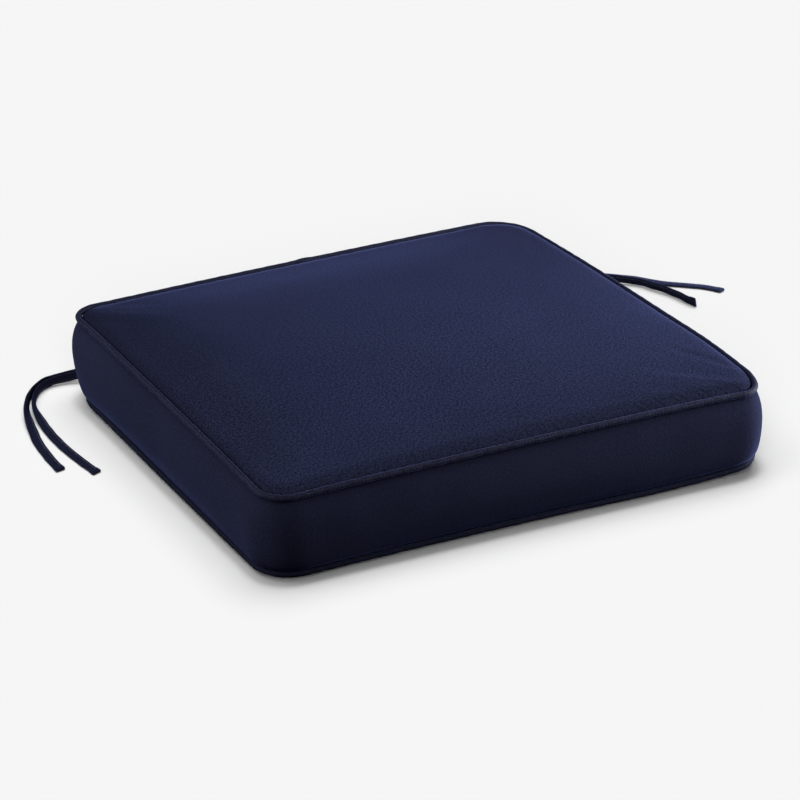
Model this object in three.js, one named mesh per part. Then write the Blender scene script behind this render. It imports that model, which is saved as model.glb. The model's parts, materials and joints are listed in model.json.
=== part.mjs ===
// Boxed chair cushion in navy cloth: one filled body, two piped seams and two pairs of flat ties.
// Millimetres, +Z up, the front edge towards -Y. The origin is under the middle of the cushion,
// on the surface that it rests on.

import * as THREE from 'three';

// Plan of the top seam, measured between the centre lines of the piping
const FRONT_WIDTH = 508;
const BACK_WIDTH = 466;
const DEPTH = 448;

// Heights of the two seams, again at the centre of the piping
const BOTTOM_SEAM_Z = 8;
const TOP_SEAM_Z = 83.4;

// Filled body: crown of the top panel, swell of the boxing band, rounded rim of the bottom panel
const SHOULDER_RISE = 7;
const SHOULDER_WIDTH = 15;
const DOME_RISE = 9;
const BOXING_SWELL = 7.2;
const BOXING_FULLNESS = 0.4;
const REST_INSET = 17;
const WRINKLE_DEPTH = 0.5;

// Piping
const PIPING_RADIUS = 3.2;
const GAP = 0.4;
const PIPING_SIDES = 8;
const JOIN_SWELL = 0.45;
const JOIN_HALF_LENGTH = 9;

// Ties
const TIE_WIDTH = 9.5;
const TIE_THICKNESS = 2;
const TIE_STEPS = 56;

// Rounding of the corners: how far each corner curve reaches along the side before it and the
// side after it, going round from the front left, on the top seam and on the bottom seam.
const CORNERS = [
  { name: 'front left', x: -0.5, y: -0.5, topBefore: 26, topAfter: 26, bottomBefore: 35, bottomAfter: 35 },
  { name: 'front right', x: 0.5, y: -0.5, topBefore: 31, topAfter: 58, bottomBefore: 40, bottomAfter: 52 },
  { name: 'back right', x: 0.5, y: 0.5, topBefore: 42, topAfter: 38, bottomBefore: 42, bottomAfter: 40 },
  { name: 'back left', x: -0.5, y: 0.5, topBefore: 25, topAfter: 25, bottomBefore: 38, bottomAfter: 40 },
];
const CORNER_STEPS = 6;

// Sides after each corner: outward bow at the middle and number of steps along it
const SIDES = [
  { name: 'front', bow: -3, steps: 17 },
  { name: 'right', bow: 3.4, steps: 14 },
  { name: 'back', bow: 2.4, steps: 15 },
  { name: 'left', bow: -1.1, steps: 14 },
];

// Places where the stuffing lets a seam drop or lifts it off the surface
const SEAM_DRIFTS = [
  { x: 246, y: -214, reach: 42, top: -1.6, bottom: 3.6 },
  { x: 128, y: -226, reach: 60, top: 0, bottom: -1.4 },
  { x: -250, y: -218, reach: 46, top: -0.4, bottom: -0.6 },
];

// Corners where the boxing band is pushed out further than along the sides
const CORNER_SWELLS = [
  { x: 244, y: -208, reach: 52, swell: 4.2 },
  { x: -230, y: 218, reach: 50, swell: 3 },
  { x: -244, y: -208, reach: 46, swell: 1.7 },
];

// Middle of the back side, where the ends of the piping are lapped
const JOIN_AT = { x: 2, y: DEPTH / 2 };

const NAVY = 0x2a2f4a;
const NAVY_PIPING = 0x272b45;
const NAVY_TIE = 0x22263c;

function cloth(name, colour, roughness) {
  const material = new THREE.MeshStandardMaterial({ color: colour, roughness, metalness: 0 });
  material.name = name;
  return material;
}

// Closed outline of one seam as a list of stations, each with its place and outward direction.
// level is 'top' or 'bottom'.
function seamStations(level) {
  const ends = CORNERS.map((corner) => {
    const width = corner.y < 0 ? FRONT_WIDTH : BACK_WIDTH;
    return new THREE.Vector2(corner.x * width, corner.y * DEPTH);
  });
  const starts = [];
  const finishes = [];
  ends.forEach((end, i) => {
    const before = ends[(i + 3) % 4];
    const after = ends[(i + 1) % 4];
    const cutBefore = CORNERS[i][`${level}Before`];
    const cutAfter = CORNERS[i][`${level}After`];
    starts.push(end.clone().addScaledVector(before.clone().sub(end).normalize(), cutBefore));
    finishes.push(end.clone().addScaledVector(after.clone().sub(end).normalize(), cutAfter));
  });
  const roundness = 0.5523;
  const points = [];
  SIDES.forEach((side, i) => {
    const end = ends[i];
    const corner = new THREE.CubicBezierCurve(
      starts[i],
      starts[i].clone().lerp(end, roundness),
      finishes[i].clone().lerp(end, roundness),
      finishes[i],
    );
    const next = starts[(i + 1) % 4];
    const along = next.clone().sub(finishes[i]);
    const outward = new THREE.Vector2(along.y, -along.x).normalize();
    const middle = finishes[i].clone().lerp(next, 0.5).addScaledVector(outward, 2 * side.bow);
    const edge = new THREE.QuadraticBezierCurve(finishes[i], middle, next);
    for (let k = 0; k < CORNER_STEPS; k += 1) points.push(corner.getPoint(k / CORNER_STEPS));
    for (const t of sideSteps(side)) points.push(edge.getPoint(t));
  });
  return points.map((point, i) => {
    const before = points[(i + points.length - 1) % points.length];
    const after = points[(i + 1) % points.length];
    const along = after.clone().sub(before).normalize();
    return { x: point.x, y: point.y, nx: along.y, ny: -along.x };
  });
}

// Even steps along a side, with a few short ones where the piping is lapped
function sideSteps(side) {
  const steps = [];
  for (let k = 0; k < side.steps; k += 1) steps.push(k / side.steps);
  if (side.name !== 'back') return steps;
  const halfSpan = JOIN_HALF_LENGTH / BACK_WIDTH;
  const near = steps.filter((t) => Math.abs(t - 0.5) > 1.6 * halfSpan);
  for (const part of [-1.2, -0.7, -0.3, 0.3, 0.7, 1.2]) near.push(0.5 + part * halfSpan);
  return near.sort((a, b) => a - b);
}

function seamHeight(level, station) {
  const base = level === 'top' ? TOP_SEAM_Z : BOTTOM_SEAM_Z;
  return SEAM_DRIFTS.reduce((height, drift) => {
    const away = Math.hypot(station.x - drift.x, station.y - drift.y) / drift.reach;
    return height + drift[level] * Math.exp(-away * away);
  }, base);
}

function bandSwell(station) {
  return CORNER_SWELLS.reduce((swell, corner) => {
    const away = Math.hypot(station.x - corner.x, station.y - corner.y) / corner.reach;
    return swell + corner.swell * Math.exp(-away * away);
  }, BOXING_SWELL);
}

const degrees = (angle) => (angle * Math.PI) / 180;

// Height that the low dome adds to the top panel at a point of the plan
function domeHeight(x, y) {
  const across = THREE.MathUtils.clamp(y / DEPTH + 0.5, 0, 1);
  const halfWidth = THREE.MathUtils.lerp(FRONT_WIDTH, BACK_WIDTH, across) / 2;
  const u = x / halfWidth;
  const v = y / (DEPTH / 2);
  return DOME_RISE * Math.max(0, 1 - u * u) * Math.max(0, 1 - v * v);
}

// Rings of the filled body, from the rest face at the bottom to the last ring of the top panel
function bodyRings(top, bottom) {
  const rings = [];
  const groove = PIPING_RADIUS + GAP;
  const ring = (place) => rings.push(top.map((station, i) => place(station, bottom[i], i)));
  const offset = (station, out, z) =>
    new THREE.Vector3(station.x + station.nx * out, station.y + station.ny * out, z);

  // Rounded rim of the bottom panel, from the flat rest face up to the bottom seam
  const seamEdge = groove * Math.cos(degrees(10));
  const seamDrop = groove * Math.sin(degrees(10));
  for (const turn of [90, 62, 40, 20]) {
    ring((_, low) => {
      const inset = REST_INSET - (REST_INSET - seamEdge) * Math.cos(degrees(turn));
      const height = (seamHeight('bottom', low) - seamDrop) * (1 - Math.sin(degrees(turn)));
      return offset(low, -inset, height);
    });
  }
  // Groove that the bottom piping lies in
  for (const turn of [190, 168, 145, 122, 100]) {
    ring((_, low) => offset(
      low,
      groove * Math.cos(degrees(turn)),
      seamHeight('bottom', low) + groove * Math.sin(degrees(turn)),
    ));
  }
  // Boxing band, swelling out between the two seams, with a few soft upright wrinkles
  const bandStart = groove * Math.cos(degrees(100));
  const bandEdge = groove * Math.sin(degrees(100));
  for (const part of [0.035, 0.1, 0.2, 0.34, 0.5, 0.66, 0.8, 0.9, 0.965]) {
    ring((high, low, i) => {
      const swell = bandSwell(low) * Math.sin(Math.PI * part) ** BOXING_FULLNESS;
      const wrinkle = WRINKLE_DEPTH * Math.sin(i * 2.4) * Math.sin(Math.PI * part);
      const out = bandStart + swell + wrinkle;
      const lowest = seamHeight('bottom', low) + bandEdge;
      const highest = seamHeight('top', high) - bandEdge;
      const from = offset(low, out, lowest);
      return from.lerp(offset(high, out, highest), part);
    });
  }
  // Groove that the top piping lies in
  for (const turn of [260, 238, 215, 192, 170]) {
    ring((high) => offset(
      high,
      groove * Math.cos(degrees(turn)),
      seamHeight('top', high) + groove * Math.sin(degrees(turn)),
    ));
  }
  // Shoulder of the top panel, then the low dome
  for (const turn of [18, 36, 56, 74, 90]) {
    ring((high) => {
      const reach = SHOULDER_WIDTH - seamEdge;
      const point = offset(high, -seamEdge - reach * (1 - Math.cos(degrees(turn))), 0);
      point.z = seamHeight('top', high) + seamDrop + SHOULDER_RISE * Math.sin(degrees(turn));
      point.z += domeHeight(point.x, point.y);
      return point;
    });
  }
  for (const part of [0.9, 0.76, 0.58, 0.38, 0.19]) {
    ring((high) => {
      const rim = offset(high, -SHOULDER_WIDTH, 0);
      const level = THREE.MathUtils.lerp(TOP_SEAM_Z, seamHeight('top', high), part);
      const point = new THREE.Vector3(rim.x * part, rim.y * part, level + seamDrop + SHOULDER_RISE);
      point.z += domeHeight(point.x, point.y);
      return point;
    });
  }
  return rings;
}

// Closed skin through a stack of rings that all have the same number of points. caps gives the
// two end points that close it, or null where the last ring joins the first.
function skin(rings, caps) {
  const around = rings[0].length;
  const positions = rings.flat().flatMap((point) => [point.x, point.y, point.z]);
  const triangles = [];
  const at = (row, column) => row * around + (column % around);
  const bands = caps ? rings.length - 1 : rings.length;
  for (let row = 0; row < bands; row += 1) {
    const next = (row + 1) % rings.length;
    for (let column = 0; column < around; column += 1) {
      triangles.push(at(row, column), at(row, column + 1), at(next, column + 1));
      triangles.push(at(row, column), at(next, column + 1), at(next, column));
    }
  }
  if (caps) {
    const first = positions.length / 3;
    positions.push(caps[0].x, caps[0].y, caps[0].z, caps[1].x, caps[1].y, caps[1].z);
    for (let column = 0; column < around; column += 1) {
      triangles.push(first, at(0, column + 1), at(0, column));
      triangles.push(first + 1, at(rings.length - 1, column), at(rings.length - 1, column + 1));
    }
  }
  const geometry = new THREE.BufferGeometry();
  geometry.setAttribute('position', new THREE.Float32BufferAttribute(positions, 3));
  geometry.setIndex(triangles);
  geometry.computeVertexNormals();
  return geometry;
}

function makeBody(top, bottom) {
  const crown = new THREE.Vector3(0, 0, TOP_SEAM_Z + SHOULDER_RISE + DOME_RISE + 0.6);
  const rest = new THREE.Vector3(0, 0, 0);
  return skin(bodyRings(top, bottom), [rest, crown]);
}

// Cloth-covered cord sewn into a seam all the way round. At the lap it stands out and away from
// the cushion, so that it stays clear of the groove.
function makePiping(level, stations) {
  const away = level === 'top' ? 1 : -1;
  const rings = stations.map((station) => {
    const fromJoin = Math.hypot(station.x - JOIN_AT.x, station.y - JOIN_AT.y) / JOIN_HALF_LENGTH;
    const swell = JOIN_SWELL * Math.exp(-(fromJoin ** 4));
    const radius = PIPING_RADIUS + swell;
    const z = seamHeight(level, station) + away * swell;
    const ring = [];
    for (let k = 0; k < PIPING_SIDES; k += 1) {
      const turn = -degrees(22.5 + (360 * k) / PIPING_SIDES);
      const out = swell + radius * Math.cos(turn);
      ring.push(new THREE.Vector3(
        station.x + station.nx * out,
        station.y + station.ny * out,
        z + radius * Math.sin(turn),
      ));
    }
    return ring;
  });
  return skin(rings, null);
}

// Routes of the four ties, from the seam at the back corner to the free end. Each row is a point
// of the centre line and the turn of the strip about it, in degrees: 0 lies flat and 90 stands on
// edge with the outer edge of the bend up.
const TIE_ROUTES = {
  tie_left_outer: [
    [-184, 227.6, 12.6, 0], [-184.5, 232.8, 12.5, -6], [-189.2, 239.4, 11.8, -24],
    [-198, 243.8, 10.8, -50], [-207.5, 246.8, 9.2, -80], [-217, 249, 7.8, -98],
    [-224.5, 250.8, 6.8, -102], [-232, 252.2, 6, -104], [-240.5, 253, 5.2, -104],
    [-249.5, 250.9, 5, -102], [-259, 245.6, 5, -98], [-268.5, 237.2, 5.1, -92],
    [-277.5, 226.4, 5.1, -86], [-285.5, 213.2, 5.1, -74], [-291.6, 200, 4.9, -54],
    [-296.8, 185, 3.9, -30], [-302.4, 164, 2.3, -10],
    [-308.3, 139.5, 1.3, 0], [-312, 114, 1.3, 0], [-313.8, 94, 1.3, 0], [-314.3, 77, 1.3, 0],
  ],
  tie_left_inner: [
    [-198, 226.9, 12.6, 0], [-198.6, 231.6, 12.4, -8], [-203.4, 237, 11.6, -36],
    [-211, 240.8, 10, -72], [-218, 243.6, 8.6, -94], [-225, 245.9, 7.2, -100],
    [-232, 247.6, 6.2, -104], [-240.5, 248.3, 5.3, -104], [-249, 246.4, 5, -102],
    [-258.2, 240.9, 5, -98], [-267.2, 231.6, 5.1, -90], [-275, 220.2, 5.1, -80],
    [-280.5, 207.6, 5.1, -62], [-284, 194.5, 4.3, -38], [-286.6, 180.5, 2.7, -14],
    [-289.2, 161, 1.5, -3], [-291, 138, 1.3, 0], [-291.6, 115, 1.3, 0], [-290.8, 93, 1.3, 0],
    [-289.4, 74, 1.3, 0], [-288, 59, 1.3, 0],
  ],
  tie_right_back: [
    [196, 227.05, 15.2, 0], [196.5, 231.6, 15, 0], [202.4, 237.4, 14.3, 0], [213.5, 242, 12.4, 0],
    [226, 245, 9.7, 0], [240, 246.8, 7.2, 0], [256, 246.9, 5.3, 0], [273, 245, 4.2, 0],
    [291, 240.6, 3.8, 0],
    [308, 235, 3.7, 0], [323, 228.3, 3.7, 0], [336.5, 220, 3.7, 0], [348, 210, 3.7, 0],
    [359, 200, 3.7, 0], [369, 191.2, 3.7, 0], [378.5, 183.2, 3.7, 0], [388, 176.6, 3.4, 0],
    [398, 170.2, 2.1, 0], [407.5, 164, 1.4, 0], [415, 157.3, 1.3, 0], [420, 150.4, 1.3, 0],
    [423, 143.6, 1.3, 0],
  ],
  tie_right_front: [
    [196, 226.1, 12.6, 0], [196.5, 231.2, 12.5, 0], [202.4, 237, 11.8, 0], [213.5, 241.4, 9.8, 0],
    [226, 244.4, 7.1, 0], [240, 246.2, 4.6, 0], [256, 246.3, 2.7, 0], [273, 244.4, 1.7, 0],
    [291, 239.8, 1.3, 0],
    [308, 234, 1.3, 0], [323, 227.2, 1.3, 0], [336, 218.5, 1.3, 0], [347, 208.3, 1.3, 0],
    [358, 197.6, 1.3, 0], [367.3, 186.8, 1.3, 0], [374.3, 175.8, 1.3, 0], [379, 164.4, 1.3, 0],
    [382.2, 152.6, 1.3, 0], [384.2, 141.5, 1.3, 0], [385.2, 131.5, 1.3, 0],
  ],
};

// Half outline of the folded strip, as parts of its half width and half thickness
const TIE_SECTION = [
  { across: 1, up: 0.45 },
  { across: 0.86, up: 1 },
  { across: -0.86, up: 1 },
  { across: -1, up: 0.45 },
  { across: -1, up: -0.45 },
  { across: -0.86, up: -1 },
  { across: 0.86, up: -1 },
  { across: 1, up: -0.45 },
];

// Flat strip that follows a route and turns about it as the rows say
function makeTie(route) {
  const line = new THREE.CatmullRomCurve3(route.map(([x, y, z]) => new THREE.Vector3(x, y, z)));
  const turns = route.map((row) => row[3]);
  const up = new THREE.Vector3(0, 0, 1);
  const rings = [];
  for (let k = 0; k <= TIE_STEPS; k += 1) {
    const t = line.getUtoTmapping(k / TIE_STEPS);
    const centre = line.getPoint(t);
    const along = line.getTangent(t);
    const place = t * (turns.length - 1);
    const row = Math.min(Math.floor(place), turns.length - 2);
    const turn = degrees(THREE.MathUtils.lerp(turns[row], turns[row + 1], place - row));
    const across = new THREE.Vector3().crossVectors(up, along).normalize().applyAxisAngle(along, turn);
    const face = new THREE.Vector3().crossVectors(along, across);
    rings.push(TIE_SECTION.map((corner) => centre.clone()
      .addScaledVector(across, (corner.across * TIE_WIDTH) / 2)
      .addScaledVector(face, (corner.up * TIE_THICKNESS) / 2)));
  }
  const middle = (ring) => ring
    .reduce((sum, point) => sum.add(point), new THREE.Vector3())
    .divideScalar(ring.length);
  return skin(rings, [middle(rings[0]), middle(rings[TIE_STEPS])]);
}

const topStations = seamStations('top');
const bottomStations = seamStations('bottom');

const bodyCloth = cloth('cushion_cloth', NAVY, 0.95);
const pipingCloth = cloth('piping_cloth', NAVY_PIPING, 0.92);
const tieCloth = cloth('tie_cloth', NAVY_TIE, 0.95);

const cushion = new THREE.Group();

function addPiece(name, geometry, material) {
  const mesh = new THREE.Mesh(geometry, material.clone());
  mesh.name = name;
  cushion.add(mesh);
}

addPiece('cushion_body', makeBody(topStations, bottomStations), bodyCloth);
addPiece('piping_top', makePiping('top', topStations), pipingCloth);
addPiece('piping_bottom', makePiping('bottom', bottomStations), pipingCloth);
for (const [name, route] of Object.entries(TIE_ROUTES)) addPiece(name, makeTie(route), tieCloth);

export default cushion;
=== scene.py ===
import json
import math

import bpy
import numpy as np
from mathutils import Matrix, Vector

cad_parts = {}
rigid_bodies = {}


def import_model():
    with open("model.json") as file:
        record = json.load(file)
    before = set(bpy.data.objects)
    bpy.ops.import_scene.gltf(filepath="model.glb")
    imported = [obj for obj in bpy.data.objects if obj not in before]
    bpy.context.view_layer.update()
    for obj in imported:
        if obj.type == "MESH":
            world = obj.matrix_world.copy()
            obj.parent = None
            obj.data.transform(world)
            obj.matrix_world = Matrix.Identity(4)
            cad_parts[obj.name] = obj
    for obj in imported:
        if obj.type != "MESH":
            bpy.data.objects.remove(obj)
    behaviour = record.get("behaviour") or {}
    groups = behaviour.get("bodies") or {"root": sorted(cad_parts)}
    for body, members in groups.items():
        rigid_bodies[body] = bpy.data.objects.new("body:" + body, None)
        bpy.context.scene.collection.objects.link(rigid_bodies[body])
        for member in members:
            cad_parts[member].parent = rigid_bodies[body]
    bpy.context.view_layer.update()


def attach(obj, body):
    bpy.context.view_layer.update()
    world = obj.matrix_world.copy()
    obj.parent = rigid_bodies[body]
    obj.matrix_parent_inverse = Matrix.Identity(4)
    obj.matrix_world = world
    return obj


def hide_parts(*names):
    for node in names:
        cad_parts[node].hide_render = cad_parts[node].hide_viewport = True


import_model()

bl_info = {
    "name": "Boxed Chair Cushion",
    "version": (1, 0, 0),
    "blender": (4, 5, 0),
    "location": "3D View > Sidebar > Cushion",
    "description": "Makes a boxed chair cushion with piped seams and flat ties",
    "category": "Object",
}

MM = 0.001

# The corners, going round from the front left: where each stands, as shares of the width and the
# depth, and how many millimetres of the two sides its curve takes on the top and bottom seam
CORNERS = (
    {"x": -0.5, "y": -0.5, "top": (26, 26), "bottom": (35, 35)},
    {"x": 0.5, "y": -0.5, "top": (28, 48), "bottom": (36, 48)},
    {"x": 0.5, "y": 0.5, "top": (42, 38), "bottom": (42, 40)},
    {"x": -0.5, "y": 0.5, "top": (25, 25), "bottom": (46, 48)},
)
# How far the middle of the front, right, back and left side stands out, in millimetres
SIDE_BOWS = (-3.0, 4.0, 2.4, -1.1)
# Places where a seam lies a little higher or lower, in millimetres
SEAM_DRIFTS = (
    {"x": 246, "y": -214, "reach": 42, "top": -1.6, "bottom": 3.6},
    {"x": 128, "y": -226, "reach": 60, "top": 0.0, "bottom": -1.4},
    {"x": -250, "y": -218, "reach": 46, "top": -0.4, "bottom": -0.4},
    {"x": -246, "y": 15, "reach": 165, "top": 0.0, "bottom": -2.3},
    {"x": 50, "y": -226, "reach": 150, "top": 0.0, "bottom": -1.1},
)
# Share of the full rise and width of the top panel's rim on the front, right, back and left
RIM_RISES = (0.85, 0.9, 0.5, 0.3)
RIM_WIDTHS = (1.25, 0.8, 0.9, 1.0)
# How plump each of these rims is: 0 slopes to the seam and 1 stands up from it
RIM_PLUMPNESS = (0.0, 1.0, 0.3, 0.0)
# Places where a seam lies a little further out or in, in millimetres
SEAM_PUSHES = (
    {"x": 250, "y": -108, "reach": 50, "top": 1.7, "bottom": 0.4},
    {"x": 250, "y": -214, "reach": 42, "top": 0.0, "bottom": 1.2},
    {"x": -250, "y": -206, "reach": 40, "top": 0.0, "bottom": -1.2},
    {"x": -236, "y": 222, "reach": 30, "top": 1.3, "bottom": 0.0},
)
# Corners at which the boxing band swells out more than elsewhere, in millimetres
CORNER_SWELLS = (
    {"x": 244, "y": -208, "reach": 52, "swell": 1.6},
    {"x": -230, "y": 218, "reach": 50, "swell": 4.4},
    {"x": -244, "y": -208, "reach": 46, "swell": 1.7},
)
# Where the ends of the piping are lapped, in the middle of the back edge, in millimetres
JOIN_AT = (11.0, 224.0)

# Routes of the ties, in metres, from the seam to the free end, with the turn of the strip in
# degrees: 0 lies flat, and 90 or -90 stands on edge
TIE_ROUTES = {
    "tie_left_outer": (
        (-0.184, 0.2276, 0.0126, 0), (-0.1845, 0.2328, 0.0125, -6), (-0.1892, 0.2394, 0.0118, -24),
        (-0.198, 0.2438, 0.0108, -50), (-0.2075, 0.2468, 0.0092, -80), (-0.217, 0.249, 0.0078, -98),
        (-0.2245, 0.2508, 0.0068, -102), (-0.232, 0.2522, 0.006, -104), (-0.2405, 0.253, 0.0052, -104),
        (-0.2495, 0.2509, 0.005, -102), (-0.259, 0.2456, 0.005, -98), (-0.2685, 0.2372, 0.0051, -92),
        (-0.2775, 0.2264, 0.0051, -86), (-0.2855, 0.2132, 0.0051, -74), (-0.2916, 0.2, 0.0049, -54),
        (-0.2968, 0.185, 0.0039, -30), (-0.3024, 0.164, 0.0023, -10), (-0.3083, 0.1395, 0.0013, 0),
        (-0.312, 0.114, 0.0013, 0), (-0.3138, 0.094, 0.0013, 0), (-0.3143, 0.077, 0.0013, 0),
    ),
    "tie_left_inner": (
        (-0.198, 0.2269, 0.0126, 0), (-0.1986, 0.2316, 0.0124, -8), (-0.2034, 0.237, 0.0116, -36),
        (-0.211, 0.2408, 0.01, -72), (-0.218, 0.2436, 0.0086, -94), (-0.225, 0.2459, 0.0072, -100),
        (-0.232, 0.2476, 0.0062, -104), (-0.2405, 0.2483, 0.0053, -104), (-0.249, 0.2464, 0.005, -102),
        (-0.2582, 0.2409, 0.005, -98), (-0.2672, 0.2316, 0.0051, -90), (-0.275, 0.2202, 0.0051, -80),
        (-0.2805, 0.2076, 0.0051, -62), (-0.284, 0.1945, 0.0043, -38), (-0.2866, 0.1805, 0.0027, -14),
        (-0.2892, 0.161, 0.0015, -3), (-0.291, 0.138, 0.0013, 0), (-0.2916, 0.115, 0.0013, 0),
        (-0.2908, 0.093, 0.0013, 0), (-0.2894, 0.0735, 0.0013, 0), (-0.2876, 0.0566, 0.0013, 0),
    ),
    "tie_right_back": (
        (0.196, 0.22705, 0.0152, 0), (0.1965, 0.2316, 0.015, 0), (0.2024, 0.2374, 0.0143, 0),
        (0.2135, 0.243, 0.0128, 0), (0.226, 0.2472, 0.0105, 0), (0.24, 0.2498, 0.0078, 0),
        (0.256, 0.2508, 0.0053, 0), (0.273, 0.25, 0.0032, 0), (0.291, 0.2466, 0.0019, 0),
        (0.308, 0.2418, 0.0014, 0), (0.323, 0.236, 0.0013, 0), (0.3385, 0.227, 0.0013, 0),
        (0.3532, 0.215, 0.0013, 0), (0.363, 0.2056, 0.0013, 0), (0.3725, 0.1928, 0.0013, 0),
        (0.382, 0.182, 0.0013, 0), (0.3915, 0.174, 0.0013, 0), (0.401, 0.1662, 0.0013, 0),
        (0.4098, 0.1585, 0.0013, 0), (0.4168, 0.15, 0.0013, 0), (0.4222, 0.1415, 0.0013, 0),
    ),
    "tie_right_front": (
        (0.196, 0.2261, 0.0126, 0), (0.1965, 0.2312, 0.0125, 0), (0.2024, 0.2362, 0.0118, 10),
        (0.2135, 0.2396, 0.0104, 45), (0.226, 0.2412, 0.0088, 80), (0.24, 0.2414, 0.0071, 100),
        (0.256, 0.2404, 0.0057, 108), (0.273, 0.2378, 0.0051, 112), (0.291, 0.2334, 0.005, 112),
        (0.308, 0.2276, 0.005, 112), (0.323, 0.2206, 0.005, 112), (0.336, 0.2126, 0.005, 112),
        (0.3461, 0.2034, 0.005, 112), (0.3553, 0.1942, 0.005, 112), (0.36, 0.1876, 0.005, 112),
        (0.3635, 0.1782, 0.005, 112), (0.3674, 0.1696, 0.005, 112), (0.371, 0.1607, 0.005, 111),
        (0.3753, 0.1451, 0.005, 109), (0.3773, 0.1333, 0.005, 107), (0.3808, 0.1223, 0.005, 106),
    ),
}


class CushionSizes(bpy.types.PropertyGroup):
    """Sizes of the cushion, measured between the centre lines of the piping"""

    front_width: bpy.props.FloatProperty(
        name="Front width", description="Width of the front edge between the seams",
        default=0.508, unit="LENGTH")
    back_width: bpy.props.FloatProperty(
        name="Back width", description="Width of the narrower back edge between the seams",
        default=0.466, unit="LENGTH")
    depth: bpy.props.FloatProperty(
        name="Depth", description="From the front seam to the back seam",
        default=0.448, unit="LENGTH")
    bottom_seam: bpy.props.FloatProperty(
        name="Bottom seam", description="Height of the bottom piping above the surface",
        default=0.008, unit="LENGTH")
    top_seam: bpy.props.FloatProperty(
        name="Top seam", description="Height of the top piping above the surface",
        default=0.0834, unit="LENGTH")
    shoulder_rise: bpy.props.FloatProperty(
        name="Shoulder rise", description="How steeply the top panel rises beside its seam",
        default=0.007, unit="LENGTH")
    shoulder_width: bpy.props.FloatProperty(
        name="Shoulder width", description="Width of the rounded rim of the top panel",
        default=0.0115, unit="LENGTH")
    dome_rise: bpy.props.FloatProperty(
        name="Dome rise", description="Height of the low dome over the whole top panel",
        default=0.009, unit="LENGTH")
    band_swell: bpy.props.FloatProperty(
        name="Band swell", description="How far the boxing band stands out between the seams",
        default=0.0072, unit="LENGTH")
    piping_radius: bpy.props.FloatProperty(
        name="Top piping radius", description="Radius of the covered cord in the top seam",
        default=0.0029, unit="LENGTH")
    low_piping_radius: bpy.props.FloatProperty(
        name="Bottom piping radius", description="Radius of the pressed cord in the bottom seam",
        default=0.0027, unit="LENGTH")
    groove: bpy.props.FloatProperty(
        name="Seam groove", description="Radius of the hollow in which the piping lies",
        default=0.0033, unit="LENGTH")
    tie_width: bpy.props.FloatProperty(
        name="Tie width", description="Width of a tie laid flat", default=0.0095, unit="LENGTH")
    tie_thickness: bpy.props.FloatProperty(
        name="Tie thickness", description="Thickness of the folded tie",
        default=0.0019, unit="LENGTH")
    stitch_length: bpy.props.FloatProperty(
        name="Stitch length", description="Length of one stitch on a tie",
        default=0.0022, unit="LENGTH")
    stitch_pitch: bpy.props.FloatProperty(
        name="Stitch pitch", description="From one stitch of a tie to the next",
        default=0.0032, unit="LENGTH")
    thread_thickness: bpy.props.FloatProperty(
        name="Thread thickness", description="Thickness of the sewing thread",
        default=0.00042, unit="LENGTH", precision=5)
    gather_depth: bpy.props.FloatProperty(
        name="Gather depth", description="Depth of the small gathers along the seams",
        default=0.00011, unit="LENGTH")


class CushionColours(bpy.types.PropertyGroup):
    """Colours and weave of the cushion's cloth"""

    cover: bpy.props.FloatVectorProperty(
        name="Cover", description="Colour of the panels and the boxing band",
        default=(0.0040, 0.0045, 0.0097), size=3, subtype="COLOR", min=0, max=1)
    piping: bpy.props.FloatVectorProperty(
        name="Piping", description="Colour of the cloth round the cord",
        default=(0.0041, 0.0046, 0.0099), size=3, subtype="COLOR", min=0, max=1)
    tie: bpy.props.FloatVectorProperty(
        name="Ties", description="Colour of the ties",
        default=(0.0032, 0.0036, 0.0078), size=3, subtype="COLOR", min=0, max=1)
    floor: bpy.props.FloatVectorProperty(
        name="Floor", description="Colour of the plain floor",
        default=(0.42, 0.42, 0.42), size=3, subtype="COLOR", min=0, max=1)
    yarn: bpy.props.FloatProperty(
        name="Yarn spacing", description="Distance from one yarn of the weave to the next",
        default=0.0009, unit="LENGTH", precision=5)


def sizes():
    """The cushion's sizes, as the sidebar shows them"""
    return bpy.context.scene.cushion_sizes


def colours():
    """The cushion's colours, as the sidebar shows them"""
    return bpy.context.scene.cushion_colours


# Shader maths

class Value:
    """A socket that takes part in arithmetic: each expression adds the Math nodes it needs"""

    def __init__(self, shader, socket):
        self.shader = shader
        self.socket = socket

    def apply(self, operation, *others):
        return self.shader.add("ShaderNodeMath", {"operation": operation}, (self, *others))

    def __add__(self, other):
        return self.apply("ADD", other)

    __radd__ = __add__

    def __mul__(self, other):
        return self.apply("MULTIPLY", other)

    __rmul__ = __mul__

    def __sub__(self, other):
        return self.apply("SUBTRACT", other)

    def __rsub__(self, other):
        return self.shader.add("ShaderNodeMath", {"operation": "SUBTRACT"}, (other, self))

    def __truediv__(self, other):
        return self.apply("DIVIDE", other)

    def __pow__(self, other):
        return self.apply("POWER", other)

    def wave(self, period):
        return (self * (2 * math.pi / period)).apply("SINE")

    def fade(self, rate=1.0):
        """1 where the value is 0, and less and less as it grows"""
        return ((0.0 - self) * rate).apply("EXPONENT")

    def size(self):
        return self.apply("ABSOLUTE")

    def clamped(self, low=0.0, high=1.0):
        return self.apply("MAXIMUM", low).apply("MINIMUM", high)

    def ramp(self, low, high):
        return self.shader.add(
            "ShaderNodeMapRange", {"interpolation_type": "SMOOTHSTEP"},
            {"Value": self, "From Min": low, "From Max": high})


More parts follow.
